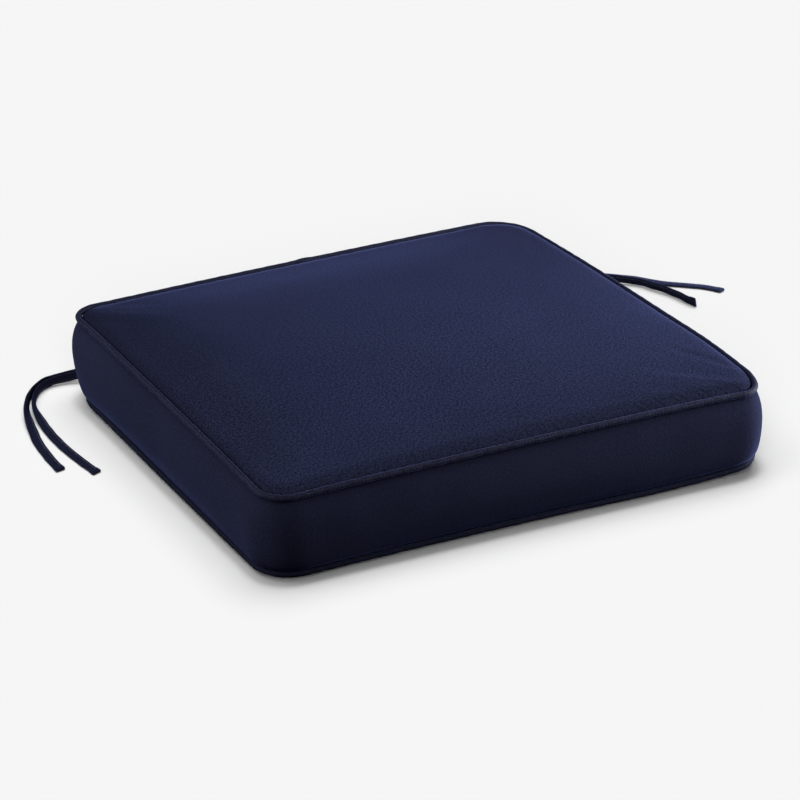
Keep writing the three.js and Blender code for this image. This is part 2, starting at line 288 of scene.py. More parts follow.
class Shader:
    """One material and its node tree"""

    def __init__(self, name):
        self.material = bpy.data.materials.new(name)
        self.material.use_nodes = True
        self.tree = self.material.node_tree
        self.tree.nodes.clear()

    def add(self, kind, settings=None, inputs=(), output=0):
        node = self.tree.nodes.new(kind)
        for name, value in (settings or {}).items():
            setattr(node, name, value)
        pairs = inputs.items() if isinstance(inputs, dict) else enumerate(inputs)
        for key, value in pairs:
            self.plug(node.inputs[key], value)
        return Value(self, node.outputs[output]) if len(node.outputs) else None

    def plug(self, socket, value):
        if isinstance(value, Value):
            self.tree.links.new(value.socket, socket)
        elif value is not None:
            socket.default_value = value

    def split(self, vector):
        node = self.tree.nodes.new("ShaderNodeSeparateXYZ")
        self.plug(node.inputs[0], vector)
        return [Value(self, out) for out in node.outputs]

    def place(self):
        """Where a point lies on the object, as x, y and z"""
        return self.split(self.add("ShaderNodeTexCoord", None, (), "Object"))

    def seam_place(self):
        """How far a point lies along the nearest seam, and away from it"""
        along, away, _ = self.split(self.add("ShaderNodeUVMap", {"uv_map": "seam"}))
        return along, away

    def join(self, x, y, z=0.0):
        return self.add("ShaderNodeCombineXYZ", None, (x, y, z))

    def noise(self, vector, scale, detail=2.0, roughness=0.5):
        return self.add(
            "ShaderNodeTexNoise", {"noise_dimensions": "3D"},
            {"Vector": vector, "Scale": scale, "Detail": detail, "Roughness": roughness})

    def shade(self, colour, factor):
        """colour made lighter or darker by a varying factor"""
        return self.add(
            "ShaderNodeVectorMath", {"operation": "SCALE"},
            {"Vector": colour, "Scale": factor})

    def finish(self, surface):
        self.add("ShaderNodeOutputMaterial", None, {"Surface": surface})
        return self.material


# Where the gathers of the seams are strongest, and from one gather to the next, in metres
GATHERED_AT = (0.175, -0.21)
GATHER_SPACING = 0.008


def gathers(shader):
    """Heights of the small gathers that the seams draw in the cloth, from the seam map"""
    along, away = shader.seam_place()
    x, y, z = shader.place()
    right, back = x - GATHERED_AT[0], y - GATHERED_AT[1]
    strong = 0.28 + (right * right + back * back).fade(110.0) * 0.9
    wander = shader.noise(shader.join(along * 34.0, away * 12.0), 1.0, 2.0) * 0.016
    pulls = ((along + wander * 0.6 + away * 0.12).wave(GATHER_SPACING) * 0.5 + 0.5) ** 2.5
    uneven = shader.noise(shader.join(along * 60.0, away * 25.0), 1.0, 2.0).ramp(0.38, 0.62)
    reach = away.fade(130.0)
    panel = z.ramp(0.081, 0.086) * 0.75 + 0.25
    return pulls * uneven * strong * reach * panel


def painted_seam_shade(shader):
    """Painted shade deep in the seams, on the top panel's slope beside them and where the boxing turns
    under, and painted light on the boxing at the back left
    """
    _, away = shader.seam_place()
    x, y, z = shader.place()
    panel = z.ramp(0.083, 0.086)
    left = (0.0 - x).ramp(0.19, 0.245)
    right = x.ramp(0.19, 0.24)
    # Painted shade on the top panel: in the crevice at its seam, and on its slope beside the seam at the
    # front and back
    crevice = away.fade(800.0) * 0.3
    slope = away.fade(140.0) * 0.16 * (1.0 - right) * (1.0 - left)
    # Painted shade on the boxing band: in the groove under each piping, and darker towards its bottom
    # where it turns under
    band = away.fade(380.0) * 0.62
    under = (1.0 - z.ramp(0.004, 0.036)) * left * 0.36 + (1.0 - z.ramp(0.01, 0.02)) * 0.28
    # Painted light on the boxing at the back left
    painted_back_left_light = left * y.ramp(0.08, 0.24) * 0.38
    return (
        (1.0 - (crevice + slope) * panel)
        * (1.0 - (band + under).clamped(0.0, 0.85) * (1.0 - panel))
        * (1.0 + painted_back_left_light * (1.0 - panel)))


def nap(shader):
    """How rough the cloth looks: most on the front half of the top panel"""
    _, y, z = shader.place()
    return 0.5 + z.ramp(0.081, 0.086) * (0.1 + (0.0 - y).ramp(-0.16, 0.1) * 0.95)


def painted_top_light(shader):
    """Painted light and shade over the top panel: lightest left of the middle, darkest at the back"""
    x, y, z = shader.place()
    # Painted shade that grows with distance from the lightest place, on the top panel only
    shade_fall = x * 0.71 + y * 0.96 + x * x * 2.5 + y * y * 2.1 + x * y * 0.6 + 0.05
    return 1.0 + (shade_fall.fade() - 1.0) * z.ramp(0.081, 0.087)


# Tone of the lightest tufts, next to 1 for the cloth as a whole
FULL_TONE = 2.0
# Sheen of the nap, and the near black that the tone mixes in, for darker grain and for painted shade
SHEEN_SPREAD = 0.3
SHEEN_TINT = (0.293, 0.373, 1.0, 1.0)
GRAIN_AND_SHADE_BLACK = (0.0008, 0.0009, 0.0018, 1.0)
# Cosine and sine of the angle at which the faint ribs of the cloth run on its map
RIB_TURN = (0.883, 0.469)
# From one rib to the next, from one stitch of the piping to the next, and the relief of the cloth,
# in metres
RIB_SPACING = 0.0024
PIPING_STITCH = 0.0034
RELIEF_DEPTH = 0.0004


def cloth_material(
        name, colour, yarn, bias=False, sheen=0.11, relief=1.0, streak=0.1, gathered=False,
        pulled=0.0, gloss=0.0, matte=0.88):
    """Matte woven cloth read along the piece's own map: yarns, slubs and uneven dye, with painted shade
    and light on the cover and painted shade low on the piping
    """
    shader = Shader(name)
    place = shader.add("ShaderNodeUVMap", {"uv_map": "cloth"})
    across, along, _ = shader.split(place)
    flat = shader.join(across, along)
    rib = across * RIB_TURN[0] - along * RIB_TURN[1]
    run = across * RIB_TURN[1] + along * RIB_TURN[0]
    seam_run = across
    if bias:
        across, along = (across + along) * 0.7071, (along - across) * 0.7071
    bend = shader.noise(flat, 55.0, 2.0)
    warp = (across + bend * (0.5 * yarn)).wave(2 * yarn)
    weft = (along + bend * (0.4 * yarn)).wave(2 * yarn)
    yarns = (warp * weft).size() ** 0.6
    twill = (rib + bend * 0.0012).wave(RIB_SPACING)
    broken = shader.noise(shader.join(rib * 260.0, run * 90.0), 1.0, 2.0).ramp(0.35, 0.65)
    slub = shader.noise(shader.join(rib * 620.0, run * 130.0), 1.0, 2.0, 0.6)
    grain = shader.noise(flat, 430.0, 2.0, 0.6)
    speck = shader.noise(flat, 850.0, 1.0)
    cloud = shader.noise(flat, 14.0, 3.0)
    rough = nap(shader) if gathered else 1.0
    tone = (
        1.0
        + (slub - 0.5) * (4.0 * streak)
        + (grain - 0.5) * rough * 2.2
        + (speck - 0.5) * rough * 2.0
        + twill * broken * (0.8 * streak)
        + (cloud - 0.5) * 0.16
        + (yarns - 0.6) * 0.1
    )
    height = slub * 0.15 + grain * 0.6 + speck * 0.3
    if gathered:
        folds = gathers(shader)
        # Painted shade in the folds of the gathers, times the painted shade and light of the seams and the
        # top panel
        tone = tone * (1.0 - folds * 0.4) * painted_seam_shade(shader) * painted_top_light(shader)
    if pulled:
        _, _, z = shader.place()
        # Painted shade: the cord is darker low down, so the bottom piping is darker than the top
        tone = tone * (0.42 + z.ramp(0.012, 0.07) * 0.58)
        stitch = seam_run.wave(PIPING_STITCH) * shader.noise(flat, 240.0, 1.0).ramp(0.3, 0.7)
        tone = tone * (1.0 + stitch * pulled)
        height = height + stitch * 0.3
    normal = shader.add(
        "ShaderNodeBump", None,
        {"Strength": 0.7 * relief, "Distance": RELIEF_DEPTH, "Height": height})
    if gathered:
        normal = shader.add(
            "ShaderNodeBump", None,
            {"Strength": 1.0, "Distance": RELIEF_DEPTH, "Height": 0.0 - folds, "Normal": normal})
    lit = shader.add(
        "ShaderNodeBsdfPrincipled", None,
        {
            "Base Color": shader.shade([v * FULL_TONE for v in colour], 0.9 + cloud * 0.2),
            "Roughness": (matte + (grain - 0.5) * 0.12).clamped(),
            "Specular IOR Level": gloss,
            "Sheen Weight": sheen * FULL_TONE,
            "Sheen Roughness": SHEEN_SPREAD,
            "Sheen Tint": SHEEN_TINT,
            "Normal": normal,
        })
    # Near black that the tone mixes in: darker grain, and the painted shade and light of the cover and the
    # piping
    hollow = shader.add(
        "ShaderNodeBsdfPrincipled", None,
        {
            "Base Color": GRAIN_AND_SHADE_BLACK, "Roughness": 1.0, "Specular IOR Level": 0.0, "Normal": normal,
        })
    return shader.finish(shader.add(
        "ShaderNodeMixShader", None, ((tone * (1 / FULL_TONE)).clamped(0.05, 1.0), hollow, lit)))


def thread_material(name, colour):
    """Twisted sewing thread with a slight gloss"""
    shader = Shader(name)
    place = shader.add("ShaderNodeTexCoord", None, (), "Object")
    twist = shader.noise(place, 2600.0, 2.0)
    bump = shader.add(
        "ShaderNodeBump", None, {"Strength": 0.4, "Distance": 0.0001, "Height": twist})
    surface = shader.add(
        "ShaderNodeBsdfPrincipled", None,
        {
            "Base Color": shader.shade((*colour,), 0.8 + twist * 0.5),
            "Roughness": (0.55 + twist * 0.2).clamped(),
            "Sheen Weight": 0.15,
            "Normal": bump,
        })
    return shader.finish(surface)


def floor_material(name, colour):
    """Plain pale floor with a barely uneven tone"""
    shader = Shader(name)
    place = shader.add("ShaderNodeTexCoord", None, (), "Object")
    cloud = shader.noise(place, 1.4, 2.0)
    surface = shader.add(
        "ShaderNodeBsdfPrincipled", None,
        {
            "Base Color": shader.shade((*colour,), 0.995 + cloud * 0.01),
            "Roughness": 0.9,
            "Specular IOR Level": 0.0,
        })
    return shader.finish(surface)


# Plan and heights of the seams, in millimetres

# Share of the way to the corner at which the handles of its round curve stand
ROUND = 0.5523


def side_curves(level):
    """The four sides of a seam from the middle of one corner to the middle of the next"""
    s = sizes()
    widths = [s.front_width / MM, s.front_width / MM, s.back_width / MM, s.back_width / MM]
    ends = [
        np.array((c["x"] * w, c["y"] * s.depth / MM)) for c, w in zip(CORNERS, widths)
    ]
    corners, cuts = [], []
    for i, end in enumerate(ends):
        back = ends[i - 1] - end
        on = ends[(i + 1) % 4] - end
        start = end + back / np.linalg.norm(back) * CORNERS[i][level][0]
        stop = end + on / np.linalg.norm(on) * CORNERS[i][level][1]
        h1, h2 = start + (end - start) * ROUND, stop + (end - stop) * ROUND
        t = np.linspace(0, 1, 81)[:, None]
        corners.append(
            (1 - t) ** 3 * start + 3 * (1 - t) ** 2 * t * h1 + 3 * (1 - t) * t ** 2 * h2 + t ** 3 * stop
        )
        cuts.append((start, stop))
    curves = []
    for i in range(4):
        start, stop = cuts[i][1], cuts[(i + 1) % 4][0]
        along = stop - start
        outward = np.array((along[1], -along[0])) / np.linalg.norm(along)
        middle = (start + stop) / 2 + outward * 2 * SIDE_BOWS[i]
        t = np.linspace(0, 1, 241)[:, None]
        edge = (1 - t) ** 2 * start + 2 * (1 - t) * t * middle + t ** 2 * stop
        curves.append(np.concatenate([corners[i][40:-1], edge, corners[(i + 1) % 4][1:41]]))
    return [pushed(curve, level) for curve in curves]


def outwards(curve):
    """Directions square to a curve, to the outside of the seam"""
    along = np.gradient(curve, axis=0)
    along /= np.linalg.norm(along, axis=1, keepdims=True)
    return np.stack([along[:, 1], -along[:, 0]], -1)


def altered(values, points, places, kind):
    """Values at points with the local changes of some places, each fading over its reach"""
    for place in places:
        away = np.hypot(points[:, 0] - place["x"], points[:, 1] - place["y"]) / place["reach"]
        values = values + place[kind] * np.exp(-away ** 2)
    return values


def pushed(curve, level):
    """A side curve with its small local pushes"""
    far = altered(np.zeros(len(curve)), curve, SEAM_PUSHES, level)
    return curve + outwards(curve) * far[:, None]


def evenly(points, shares):
    """Places at shares of a polyline's length"""
    lengths = np.concatenate([[0], np.cumsum(np.linalg.norm(np.diff(points, axis=0), axis=1))])
    at = np.asarray(shares) * lengths[-1]
    return np.stack([np.interp(at, lengths, points[:, k]) for k in range(points.shape[1])], -1)


def seam_loop(level, counts):
    """Stations all round a seam, the same number on opposite sides, with outward directions"""
    parts = [
        evenly(curve, np.arange(n) / n)
        for curve, n in zip(side_curves(level), (counts[0], counts[1], counts[0], counts[1]))
    ]
    points = np.concatenate(parts)
    along = np.roll(points, -1, 0) - np.roll(points, 1, 0)
    along /= np.linalg.norm(along, axis=1, keepdims=True)
    return points, np.stack([along[:, 1], -along[:, 0]], -1)


def seam_height(level, points):
    """Height of a seam at its stations"""
    s = sizes()
    height = np.full(len(points), (s.top_seam if level == "top" else s.bottom_seam) / MM)
    return altered(height, points, SEAM_DRIFTS, level)


def band_swell(points):
    """How far the boxing band swells out at each station"""
    swell = np.full(len(points), sizes().band_swell / MM)
    return altered(swell, points, CORNER_SWELLS, "swell")


def dome_height(x, y):
    """Height of the low dome over the top panel"""
    s = sizes()
    across = np.clip(y / (s.depth / MM) + 0.5, 0, 1)
    half = (s.front_width + (s.back_width - s.front_width) * across) / MM / 2
    u, v = x / half, y / (s.depth / MM / 2)
    return s.dome_rise / MM * np.maximum(0, 1 - u * u) * np.maximum(0, 1 - v * v)


def ripple(place, length, seed):
    """Smooth uneven wave of about that wavelength, the same on every run"""
    total = np.zeros_like(place)
    for k, share in enumerate((0.71, 0.93, 1.0, 1.17, 1.39, 1.83)):
        phase = math.sin(seed * 12.9898 + k * 78.233) * 43.7585
        total += np.sin(2 * np.pi * place / (length * share) + phase)
    return total / 3.2


def panel_distance(points, loop):
    """Distance of points of the plan from a closed loop, and the nearest station, in blocks"""
    out = np.empty(len(points))
    nearest = np.empty(len(points), int)
    for start in range(0, len(points), 2000):
        part = points[start:start + 2000]
        gap = np.linalg.norm(part[:, None] - loop[None], axis=2)
        nearest[start:start + 2000] = gap.argmin(1)
        out[start:start + 2000] = gap.min(1)
    return out, nearest


class PanelGrid:
    """Points and faces of a flat panel inside a seam: rows beside the seam, then a grid"""

    def __init__(self, curves, counts, rows, border):
        self.curves = curves
        nx, ny = counts
        inner_x = border / np.linalg.norm(curves[0][-1] - curves[0][0])
        inner_y = border / np.linalg.norm(curves[1][-1] - curves[1][0])
        outer = self.frame(nx, ny, 0, 0)
        inner = self.frame(nx, ny, inner_x, inner_y)
        self.rows = [self.lay(outer + (inner - outer) * t) for t in rows]
        inside = [
            (inner_x + (1 - 2 * inner_x) * i / nx, inner_y + (1 - 2 * inner_y) * j / ny)
            for j in range(1, ny) for i in range(1, nx)
        ]
        self.inside = self.lay(np.array(inside))
        self.counts = counts

    @staticmethod
    def frame(nx, ny, qx, qy):
        """Places round a rectangle in the panel, as shares of its width and depth"""
        low = [(i / nx, 0) for i in range(nx)]
        right = [(1, j / ny) for j in range(ny)]
        high = [(1 - i / nx, 1) for i in range(nx)]
        left = [(0, 1 - j / ny) for j in range(ny)]
        square = np.array(low + right + high + left, float)
        return np.array((qx, qy)) + square * np.array((1 - 2 * qx, 1 - 2 * qy))

    def lay(self, uv):
        """Points of the plan for shares of the panel's width and depth"""
        u, v = uv[:, :1], uv[:, 1:]
        front = evenly(self.curves[0], uv[:, 0])
        right = evenly(self.curves[1], uv[:, 1])
        back = evenly(self.curves[2], 1 - uv[:, 0])
        left = evenly(self.curves[3], 1 - uv[:, 1])
        fl, fr = self.curves[0][0], self.curves[1][0]
        br, bl = self.curves[2][0], self.curves[3][0]
        corners = (1 - u) * (1 - v) * fl + u * (1 - v) * fr + u * v * br + (1 - u) * v * bl
        return (1 - v) * front + v * back + (1 - u) * left + u * right - corners

    def cells(self, ring_start, inside_start):
        """Faces of the grid, given the first index of the innermost row and of the inside"""
        nx, ny = self.counts

        def at(i, j):
            if j == 0:
                return ring_start + i
            if i == nx:
                return ring_start + nx + j
            if j == ny:
                return ring_start + nx + ny + (nx - i)
            if i == 0:
                return ring_start + (2 * nx + ny + (ny - j)) % (2 * (nx + ny))
            return inside_start + (j - 1) * (nx - 1) + (i - 1)

        return [
            (at(i, j), at(i + 1, j), at(i + 1, j + 1), at(i, j + 1))
            for j in range(ny) for i in range(nx)
        ]


# Stations along the front and along one side of a seam
COUNTS = (86, 74)
# Rows of points beside the seams of the panels, and up the boxing band
TOP_ROWS = (0, 0.045, 0.1, 0.165, 0.24, 0.33, 0.45, 0.6, 0.79, 1.0)
BOTTOM_ROWS = (0, 0.1, 0.22, 0.4, 0.66, 1.0)
BAND_ROWS = (0.0, 0.03, 0.075, 0.14, 0.22, 0.31, 0.4, 0.5, 0.6, 0.69, 0.78, 0.86, 0.925, 0.97, 1.0)
# Where the panels and the band leave the seam, in degrees round the piping
PANEL_TURN = 10
BAND_TURNS = (160, 130, 100)
# In millimetres: the rows beside the seam, the height of the band, the rounded rim of the bottom
# panel, and how far in from the seam the rim and the seam's own height are felt
BORDER = 44.0
BAND_HEIGHT = 75.0
BOTTOM_RIM = 13.5
RIM_REACH = 45
SEAM_REACH = 60
# Over how many millimetres the rims of two sides blend at a corner
RIM_BLEND = 16
# Shifts of the cloth map, in millimetres: of the bottom panel to one side, and of its seam
# distances, so that it has no gathers
BOTTOM_MAP_SHIFT = 3000
BOTTOM_GAP_SHIFT = 40


def offset_curves(level, inset):
    """The side curves of a seam moved inwards"""
    moved = []
    for curve in side_curves(level):
        moved.append(curve - outwards(curve) * inset)
    for i in range(4):
        joint = (moved[i][-1] + moved[(i + 1) % 4][0]) / 2
        moved[i][-1] = joint
        moved[(i + 1) % 4][0] = joint
    return moved


def side_share(shares, outward):
    """A value for each direction round the cushion, from its values on the four sides"""
    weights = np.stack([
        np.maximum(0, -outward[:, 1]), np.maximum(0, outward[:, 0]),
        np.maximum(0, outward[:, 1]), np.maximum(0, -outward[:, 0])], -1) ** 2
    return weights @ np.array(shares)


def nearness(points, loop):
    """How much each station of a seam counts at each point of a panel: the nearest counts most"""
    gap = np.linalg.norm(points[:, None, :2] - loop[None, :, :2], axis=2)
    return np.exp((gap.min(1, keepdims=True) - gap) / RIM_BLEND)


class CoverShape:
    """Points, faces, cloth map and seam distances of the whole sewn cover, in millimetres"""

    def __init__(self):
        self.points, self.faces, self.maps = [], [], []
        self.seam_at, self.seam_gap = [], []
        self.total = 0
        s = sizes()
        self.groove = s.groove / MM
        self.top, self.top_out = seam_loop("top", COUNTS)
        self.low, self.low_out = seam_loop("bottom", COUNTS)
        self.top_z = seam_height("top", self.top)
        self.low_z = seam_height("bottom", self.low)
        steps = np.linalg.norm(np.roll(self.top, -1, 0) - self.top, axis=1)
        self.along = np.concatenate([[0], np.cumsum(steps)])
        self.build()

    def add(self, points, gap, at=None):
        """Keeps points, with their distance from a seam and the seam station they lie beside"""
        start = self.total
        self.points.append(points)
        self.seam_gap.append(np.broadcast_to(np.asarray(gap, float), len(points)))
        self.seam_at.append(np.arange(len(self.top)) if at is None else at)
        self.total += len(points)
        return start

    def seam_map(self):
        """Along and away from the seam, for each corner of each face"""
        faces = np.array(self.faces)
        total = self.along[-1]
        along = self.along[np.concatenate(self.seam_at)][faces]
        wraps = (along.max(1) - along.min(1) > total / 2)[:, None]
        along = np.where(wraps & (along < total / 2), along + total, along)
        return np.stack([along, np.concatenate(self.seam_gap)[faces]], -1)

    def ring(self, level, turn):
        """Points all round a seam, at a turn round the piping"""
        loop, out, z = (
            (self.top, self.top_out, self.top_z) if level == "top"
            else (self.low, self.low_out, self.low_z)
        )
        side = self.groove * math.cos(math.radians(turn))
        up = self.groove * math.sin(math.radians(turn))
        return np.column_stack([loop + out * side, z + up])

    def join(self, lower, upper, low_map, high_map):
        """Faces between two rings, with the cloth map running along the seam"""
        n = len(self.top)
        for k in range(n):
            m = (k + 1) % n
            self.faces.append((lower + k, lower + m, upper + m, upper + k))
            self.maps.append((
                (self.along[k], low_map), (self.along[k + 1], low_map),
                (self.along[k + 1], high_map), (self.along[k], high_map),
            ))

    def panel_faces(self, rings, grid, inside, flip):
        """Faces of a panel, with the plan as its cloth map"""
        flat = np.concatenate(self.points)
        n = len(self.top)
        quads = []
        for lower, upper in zip(rings, rings[1:]):
            for k in range(n):
                m = (k + 1) % n
                quads.append((lower + k, lower + m, upper + m, upper + k))
        quads += grid.cells(rings[-1], inside)
        for quad in quads:
            quad = quad[::-1] if flip else quad
            self.faces.append(quad)
            self.maps.append(tuple((flat[i][0] + BOTTOM_MAP_SHIFT * flip, flat[i][1]) for i in quad))

    def build(self):
        edge = self.groove * math.cos(math.radians(PANEL_TURN))
        drop = self.groove * math.sin(math.radians(PANEL_TURN))
        self.lay_top(edge, drop)
        self.lay_bottom(edge, drop)
        self.lay_band()

    def lay_top(self, edge, drop):
        """Top panel, whose rim rises from the seam in its own way on each side"""
        s = sizes()
        grid = PanelGrid(offset_curves("top", edge), COUNTS, TOP_ROWS, BORDER)
        seam = self.top - self.top_out * edge
        inner = s.shoulder_rise / MM * 0.9
        self.first_top = self.total
        rings = []
        for k, flat in enumerate([*grid.rows, grid.inside]):
            away, near = panel_distance(flat, seam)
            if k == 0:
                away[:] = 0
            weight = nearness(flat, seam)
            rises, widths, plump = (
                weight @ side_share(shares, self.top_out) / weight.sum(1)
                for shares in (RIM_RISES, RIM_WIDTHS, RIM_PLUMPNESS))
            reach = np.clip(away / (widths * s.shoulder_width / MM), 0, 1)
            beside = np.exp(-((away / RIM_REACH) ** 2))
            rise = inner + (rises * s.shoulder_rise / MM - inner) * beside
            plump = plump * beside
            fade = np.exp(-away / SEAM_REACH)
            z = (self.top_z[near] + drop) * fade + (s.top_seam / MM + drop) * (1 - fade)
            z += rise * (
                np.sin(reach * math.pi / 2) * (1 - plump) + np.sqrt(1 - (1 - reach) ** 2) * plump)
            z += dome_height(flat[:, 0], flat[:, 1])
            rings.append(self.add(
                np.column_stack([flat, z]), away, near if k == len(grid.rows) else None))
        self.top_rings = rings[:-1]
        self.panel_faces(self.top_rings, grid, rings[-1], False)
        self.last_top = self.total

    def lay_bottom(self, edge, drop):
        """Bottom panel, with its rounded rim and flat middle"""
        grid = PanelGrid(offset_curves("bottom", edge), COUNTS, BOTTOM_ROWS, BORDER)
        self.first_bottom = self.total
        rings = []
        for k, flat in enumerate([*grid.rows, grid.inside]):
            away, near = panel_distance(flat, self.low - self.low_out * edge)
            if k == 0:
                away[:] = 0
            reach = np.clip(away / BOTTOM_RIM, 0, 1)
            z = (self.low_z[near] - drop) * (1 - np.sqrt(1 - (1 - reach) ** 2))
            rings.append(self.add(
                np.column_stack([flat, z]), away + BOTTOM_GAP_SHIFT,
                near if k == len(grid.rows) else None))
        self.bottom_rings = rings[:-1]
        self.panel_faces(self.bottom_rings, grid, rings[-1], True)
        self.last_bottom = self.total

    def lay_band(self):
        """Seams and boxing band, from the bottom seam to the top seam"""
        low_rings = [self.bottom_rings[0]]
        low_rings += [self.add(self.ring("bottom", turn), 0) for turn in BAND_TURNS]
        low_edge, high_edge = self.ring("bottom", BAND_TURNS[-1]), self.ring("top", 360 - BAND_TURNS[-1])
        swell = band_swell(self.low)
        wrinkle = 0.25 * np.sin(np.arange(len(self.top)) * 0.62)
        band = [low_rings[-1]]
        for part in BAND_ROWS[1:-1]:
            arch = math.sin(math.pi * part)
            out = swell * arch ** (0.30 + 0.42 * part ** 2) + wrinkle * arch
            points = low_edge * (1 - part) + high_edge * part
            points[:, :2] += (self.low_out * (1 - part) + self.top_out * part) * out[:, None]
            band.append(self.add(points, min(part, 1 - part) * BAND_HEIGHT))
        high_rings = [self.add(self.ring("top", 360 - turn), 0) for turn in reversed(BAND_TURNS)]
        band.append(high_rings[0])
        high_rings.append(self.top_rings[0])

        for j, (lower, upper) in enumerate(zip(low_rings, low_rings[1:])):
            self.join(lower, upper, -6.0 + 2 * j, -4.0 + 2 * j)
        for part, after, lower, upper in zip(BAND_ROWS, BAND_ROWS[1:], band, band[1:]):
            self.join(lower, upper, part * BAND_HEIGHT, after * BAND_HEIGHT)
        for j, (lower, upper) in enumerate(zip(high_rings, high_rings[1:])):
            self.join(lower, upper, BAND_HEIGHT + 2 * j, BAND_HEIGHT + 2 + 2 * j)
        self.band_rings = band
        self.held = set()
        n = len(self.top)
        for start in [*low_rings[:-1], *high_rings[1:]]:
            self.held.update(range(start, start + n))


def mesh_object(name, points, faces, maps=None, scale=MM, seam=None):
    """An object of points and faces, with its cloth map and its seam map"""
    mesh = bpy.data.meshes.new(name)
    mesh.from_pydata(
        (np.asarray(points) * scale).tolist(), [], [tuple(int(i) for i in face) for face in faces])
    if maps is not None:
        corners = np.array([corner for face in maps for corner in face], np.float32)
        mesh.uv_layers.new(name="cloth").data.foreach_set("uv", (corners * scale).ravel())
    if seam is not None:
        corners = (seam.reshape(-1, 2) * scale).astype(np.float32)
        mesh.uv_layers.new(name="seam").data.foreach_set("uv", corners.ravel())
    mesh.shade_smooth()
    mesh.update()
    piece = bpy.data.objects.new(name, mesh)
    bpy.context.scene.collection.objects.link(piece)
    return piece


def coordinates(mesh):
    """The points of a mesh as an array"""
    co = np.empty(len(mesh.vertices) * 3)
    mesh.vertices.foreach_get("co", co)
    return co.reshape(-1, 3)


def baked(piece):
    """Plain mesh of a piece with its modifiers, put in place of its own"""
    graph = bpy.context.evaluated_depsgraph_get()
    graph.update()
    finished = bpy.data.meshes.new_from_object(
        piece.evaluated_get(graph), preserve_all_data_layers=True, depsgraph=graph)
    piece.modifiers.clear()
    old = piece.data
    piece.data = finished
    bpy.data.meshes.remove(old)
    return piece


def vertex_weights(piece, name, weights):
    """A vertex group with weights to two decimals"""
    group = piece.vertex_groups.new(name=name)
    weights = np.round(weights, 2)
    for level in np.unique(weights):
        if level > 0:
            group.add([int(i) for i in np.flatnonzero(weights == level)], float(level), "REPLACE")


# The cover's cloth while it is filled: pressure inside, held seams, and spare cloth beside them
FILLING = {
    "quality": 6, "mass": 0.25,
    "tension_stiffness": 30, "compression_stiffness": 30, "shear_stiffness": 12, "bending_stiffness": 0.6,
    "use_pressure": True, "uniform_pressure_force": 0.6,
    "vertex_group_mass": "held", "pin_stiffness": 1,
    "vertex_group_shrink": "gathered", "shrink_min": 0.0, "shrink_max": -0.02,
}
FILLING_STEPS = 16
# The furthest that filling moves a point, and how much it raises the middle of the top, in metres
FILLING_LIMIT = 0.05
FILLING_RISE = 0.0008


def stuff(cover, held, gathered):
    """Cloth under pressure between its held seams, with spare cloth to gather beside them"""
    scene = bpy.context.scene
    rest = coordinates(cover.data)
    vertex_weights(cover, "held", held)
    vertex_weights(cover, "gathered", gathered)
    cloth = cover.modifiers.new("stuffing", "CLOTH")
    for name, value in FILLING.items():
        setattr(cloth.settings, name, value)
    cloth.settings.effector_weights.gravity = 0
    cloth.collision_settings.use_collision = False
    cloth.collision_settings.use_self_collision = False
    cloth.point_cache.frame_start = scene.frame_start = 1
    cloth.point_cache.frame_end = scene.frame_end = FILLING_STEPS
    for number in range(1, FILLING_STEPS + 1):
        scene.frame_set(number)
    graph = bpy.context.evaluated_depsgraph_get()
    moved = coordinates(cover.evaluated_get(graph).data)
    cover.modifiers.remove(cloth)
    scene.frame_set(1)
    shift = moved - rest
    far = np.linalg.norm(shift, axis=1, keepdims=True)
    shift *= np.minimum(1, FILLING_LIMIT / np.maximum(far, 1e-9))
    cover.data.vertices.foreach_set("co", (rest + shift).ravel())
    cover.vertex_groups.clear()
    cover.data.update()
    return rest, shift


# The photograph's camera: degrees round the cushion and above the floor, its distance and aim in
# metres, and the picture's width, focal length and shift in pixels
CAMERA_TURN, CAMERA_TILT, CAMERA_DISTANCE = -28.0, 24.8, 5.491
CAMERA_AIM = (0, 0, 0.0457)
PICTURE_WIDTH = 800
PICTURE_FOCUS = 5986
PICTURE_SHIFT = (-6.4, -11.1)


class CUSHION_OT_camera(bpy.types.Operator):
    """Sets the camera at the photograph's angle"""

    bl_idname = "cushion.camera"
    bl_label = "Camera"

    def execute(self, context):
        turn, tilt = math.radians(CAMERA_TURN), math.radians(CAMERA_TILT)
        back = Vector((
            math.sin(turn) * math.cos(tilt), -math.cos(turn) * math.cos(tilt), math.sin(tilt)))
        data = bpy.data.cameras.new("camera")
        data.sensor_width = 36.0
        data.lens = data.sensor_width * PICTURE_FOCUS / PICTURE_WIDTH
        data.shift_x, data.shift_y = (shift / PICTURE_WIDTH for shift in PICTURE_SHIFT)
        data.clip_start, data.clip_end = 0.1, 60
        camera = bpy.data.objects.new("camera", data)
        camera.location = Vector(CAMERA_AIM) + back * CAMERA_DISTANCE
        camera.rotation_mode = "QUATERNION"
        camera.rotation_quaternion = (-back).to_track_quat("-Z", "Y")
        context.scene.collection.objects.link(camera)
        context.scene.camera = camera
        return {"FINISHED"}


